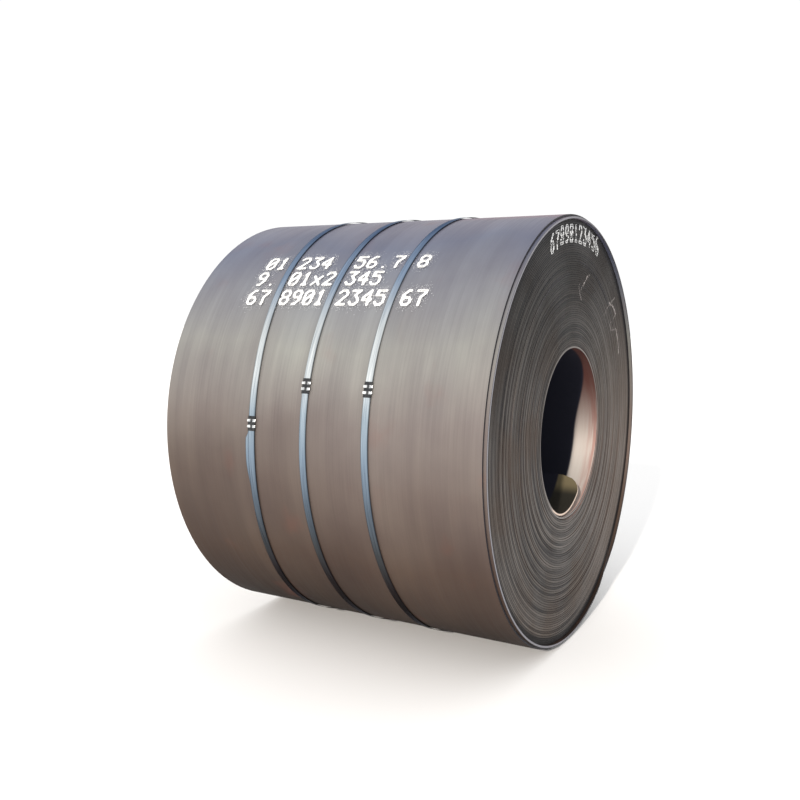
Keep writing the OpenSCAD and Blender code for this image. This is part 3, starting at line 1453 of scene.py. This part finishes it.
@dataclass
class SprayedNumbers(Drops):
    """Plain numbers sprayed on the coil's front, in three lines, and round its near end face.

    Attributes:
        groups: Where each group of characters starts along the coil, clear of the straps.
        group_size: How many characters each has.
        char_pitch: Distance between two characters.
        char_w: Width of a character.
        char_h: Height of a character, in degrees round the coil.
        dot_d: Size of a dot.
        mist_d: Size of a fine drop.
        mist_per_dot: How many fine drops there are for each dot.
        mist_spread: How far they stray along the coil, and in degrees round it.
        mist_size: Smallest and largest size of one beside mist_d.
        seed: Seed of their scatter.
        lines: Angle of each line's foot, and its characters.
        end_text: The characters on the end face.
        end_start: Angle of the first.
        end_pitch: Degrees between two.
        end_char_w: Width of a character there.
        end_dot: Width of a dot there beside dot_d, and its height beside a turn's.
        end_angles: Angles at which the next two are given.
        end_low: Radius of the characters' feet there.
        end_high: Radius of their heads.
    """

    groups: tuple[float, ...] = (-455 * MM, -280 * MM, 10 * MM, 312 * MM)
    group_size: tuple[int, ...] = (2, 4, 4, 2)
    char_pitch: float = 60 * MM
    char_w: float = 37 * MM
    char_h: float = 4.2
    dot_d: float = 13 * MM
    mist_d: float = 2.3 * MM
    mist_per_dot: int = 13
    mist_spread: tuple[float, float] = (15 * MM, 1.0)
    mist_size: tuple[float, float] = (0.5, 1.4)
    seed: int = 4
    lines: tuple[tuple[float, str], ...] = (
        (48.8, "01234 56.78 "),
        (42.8, "9.01x2345   "),
        (36.5, "678901234567"),
    )
    end_text: str = "67890123456"
    end_start: float = 70.2
    end_pitch: float = 4.06
    end_char_w: float = 34 * MM
    end_dot: tuple[float, float] = (0.85, 1.35)
    end_angles: tuple[float, ...] = (70.0, 91.0, 113.0)
    end_low: tuple[float, ...] = (0.838, 0.842, 0.860)
    end_high: tuple[float, ...] = (0.903, 0.915, 0.932)

    def front_dots(self) -> list[tuple[float, float]]:
        """Place along X and angle of every dot of the three lines."""
        slots = [
            start + self.char_pitch * index
            for start, size in zip(self.groups, self.group_size)
            for index in range(size)
        ]
        return [
            (x + self.char_w * column, bottom + self.char_h * row)
            for bottom, text in self.lines
            for x, character in zip(slots, text)
            if character != " "
            for column, row in dots_of(character)
        ]

    def end_dots(self) -> list[tuple[float, float]]:
        """Works out the numbers on the end face: upright characters whose feet follow an arc.

        Returns:
            Radius and angle of every dot.
        """
        dots = []
        for index, character in enumerate(self.end_text):
            middle = self.end_start + self.end_pitch * index
            low = float(np.interp(middle, self.end_angles, self.end_low))
            high = float(np.interp(middle, self.end_angles, self.end_high))
            turned = math.radians(middle)
            for column, row in dots_of(character):
                sideways = (column - 0.5) * self.end_char_w
                y = -low * math.cos(turned) + sideways * math.sin(turned)
                z = low * math.sin(turned) + sideways * math.cos(turned) + row * (high - low)
                dots.append((math.hypot(y, z), math.degrees(math.atan2(z, -y))))
        return dots

    def build(self) -> bpy.types.Object:
        """Models the numbers on the front.

        Returns:
            The numbers as one piece.
        """
        places = [self.on_front(x, angle) for x, angle in self.front_dots()]
        return stamp("sprayed_numbers", self.drop(self.dot_d, self.dot_d, 12), places)

    def build_end(self) -> bpy.types.Object:
        """Models the numbers on the end face, each dot reaching past the edge that it lies on.

        Returns:
            The numbers as one piece.
        """
        places = [self.on_end(radius, angle) for radius, angle in self.end_dots()]
        width, height = self.end_dot
        dot = self.drop(width * self.dot_d, height * self.coil.pitch, 8)
        return stamp("sprayed_end_numbers", dot, places)

    def build_mist(self) -> bpy.types.Object:
        """Models the fine drops that missed, thickest near the numbers.

        Returns:
            The drops as one piece.
        """
        scatter = random.Random(self.seed)
        spread_x, spread_angle = self.mist_spread
        places = []
        for x, angle in self.front_dots():
            for _ in range(self.mist_per_dot):
                stray_x = x + scatter.gauss(0, spread_x)
                stray_angle = angle + scatter.gauss(0, spread_angle)
                places.append(self.on_front(stray_x, stray_angle, scatter.uniform(*self.mist_size)))
        deselect_all()
        bpy.ops.mesh.primitive_cone_add(vertices=4, radius1=self.mist_d / 2, depth=self.height)
        return stamp("paint_mist", bpy.context.object, places)

    def dress(self, numbers: Sequence[bpy.types.Object], mist: bpy.types.Object) -> None:
        """Gives the paint its finish.

        Args:
            numbers: The pieces of full paint.
            mist: The fine drops, thinner than the rest.
        """
        paint = MARKING_PAINT.material()
        for piece in numbers:
            finish_piece(piece, [paint])
        finish_piece(mist, [OVERSPRAY.material()])


@dataclass
class ChalkStrokes(Drops):
    """Chalk strokes left by a hand on the near end face.

    Attributes:
        stroke_w: Width of a stroke.
        step: Distance between two of its drops.
        strokes: Radius and angle of the corners of each stroke.
    """

    stroke_w: float = 5 * MM
    step: float = 4 * MM
    strokes: tuple[tuple[tuple[float, float], ...], ...] = (
        ((0.852, 135.7), (0.74, 132.1), (0.68, 131.1)),
        ((0.781, 145.8), (0.771, 155.8)),
        ((0.77, 131.9), (0.806, 137.2), (0.821, 141.1), (0.718, 139.4), (0.725, 143.2), (0.763, 144.9)),
        ((0.66, 95.6), (0.595, 98.4)),
        ((0.648, 99.0), (0.712, 103.8), (0.728, 106.5)),
    )

    def build(self) -> bpy.types.Object:
        """Models the strokes.

        Returns:
            The strokes as one piece.
        """
        places = []
        for stroke in self.strokes:
            for (start_r, start_a), (end_r, end_a) in zip(stroke, stroke[1:]):
                span = math.hypot(end_r - start_r, math.radians(end_a - start_a) * start_r)
                for share in np.linspace(0, 1, max(2, int(span / self.step))):
                    radius = start_r + share * (end_r - start_r)
                    places.append(self.on_end(radius, start_a + share * (end_a - start_a)))
        return stamp("chalk_strokes", self.drop(self.stroke_w, self.coil.pitch, 6), places)

    def dress(self, piece: bpy.types.Object) -> None:
        """Gives the chalk its finish."""
        finish_piece(piece, [CHALK.material()])


# ---------------------------------------------------------------- studio


@dataclass
class Studio:
    """Plain pale floor, one soft key light from the front, pale sky and the camera.

    Attributes:
        floor_size: Side of the floor.
        camera_place: Where the camera is.
        camera_turn: How far it is turned to the left, in radians.
        camera_dip: How far it looks down, in radians.
        lens: Its focal length in millimetres.
        view_end: How far it sees.
        sun_travel: Direction in which the key light travels.
        sun_power: Its strength.
        sun_spread: Its width in degrees.
        sun_colour: Its colour.
        sky: Colour of the sky.
        sky_power: Its strength.
    """

    floor_size: float = 60.0
    camera_place: tuple[float, float, float] = (2.0857, -3.8791, 1.5792)
    camera_turn: float = 0.5191
    camera_dip: float = 0.1162
    lens: float = 40.857
    view_end: float = 200.0
    sun_travel: tuple[float, float, float] = (-0.15, 0.92, -0.39)
    sun_power: float = 3.0
    sun_spread: float = 2.5
    sun_colour: str = "#fff6ec"
    sky: str = "#ffffff"
    sky_power: float = 1.03

    def build(self) -> None:
        """Sets up the floor, the lights and the camera."""
        deselect_all()
        bpy.ops.mesh.primitive_plane_add(size=self.floor_size)
        floor = bpy.context.object
        floor.name = "studio_floor"
        floor.data.materials.append(StudioFloor().material())
        sun = bpy.data.lights.new("key_light", "SUN")
        sun.energy = self.sun_power
        sun.angle = math.radians(self.sun_spread)
        sun.color = linear(self.sun_colour)[:3]
        lamp = bpy.data.objects.new("key_light", sun)
        lamp.rotation_euler = Vector(self.sun_travel).to_track_quat("-Z", "Y").to_euler()
        bpy.context.scene.collection.objects.link(lamp)
        world = bpy.data.worlds.new("pale_sky")
        world.use_nodes = True
        background = world.node_tree.nodes["Background"]
        background.inputs[0].default_value = linear(self.sky)
        background.inputs[1].default_value = self.sky_power
        bpy.context.scene.world = world
        camera = bpy.data.cameras.new("camera")
        camera.lens = self.lens
        camera.clip_end = self.view_end
        stand = bpy.data.objects.new("camera", camera)
        stand.location = self.camera_place
        stand.rotation_euler = (math.pi / 2 - self.camera_dip, 0, self.camera_turn)
        bpy.context.scene.collection.objects.link(stand)
        bpy.context.scene.camera = stand
        bpy.context.scene.view_settings.view_transform = "Standard"
        log.info("studio: floor, key light, sky and camera")


# ---------------------------------------------------------------- the whole


def main() -> None:
    """Builds the pieces in order."""
    logging.basicConfig(level=logging.INFO, format="%(name)s %(message)s", stream=sys.stdout)
    Studio().build()
    coil = WoundStrip()
    coil.dress(coil.build())
    straps = [
        Strap(coil, "left", 5.0, seal_shift=15 * MM, drift=-50 * MM, step_aside=-15 * MM, tail_l=300 * MM),
        Strap(coil, "middle", 15.0, drift=-6 * MM),
        Strap(coil, "right", 15.0, seal_shift=-8 * MM, drift=8 * MM),
    ]
    for strap in straps:
        strap.dress(strap.build())
        seal = Seal(strap)
        seal.dress(seal.build())
    numbers = SprayedNumbers(coil)
    numbers.dress([numbers.build(), numbers.build_end()], numbers.build_mist())
    chalk = ChalkStrokes(coil)
    chalk.dress(chalk.build())


if __name__ == "__main__":
    main()
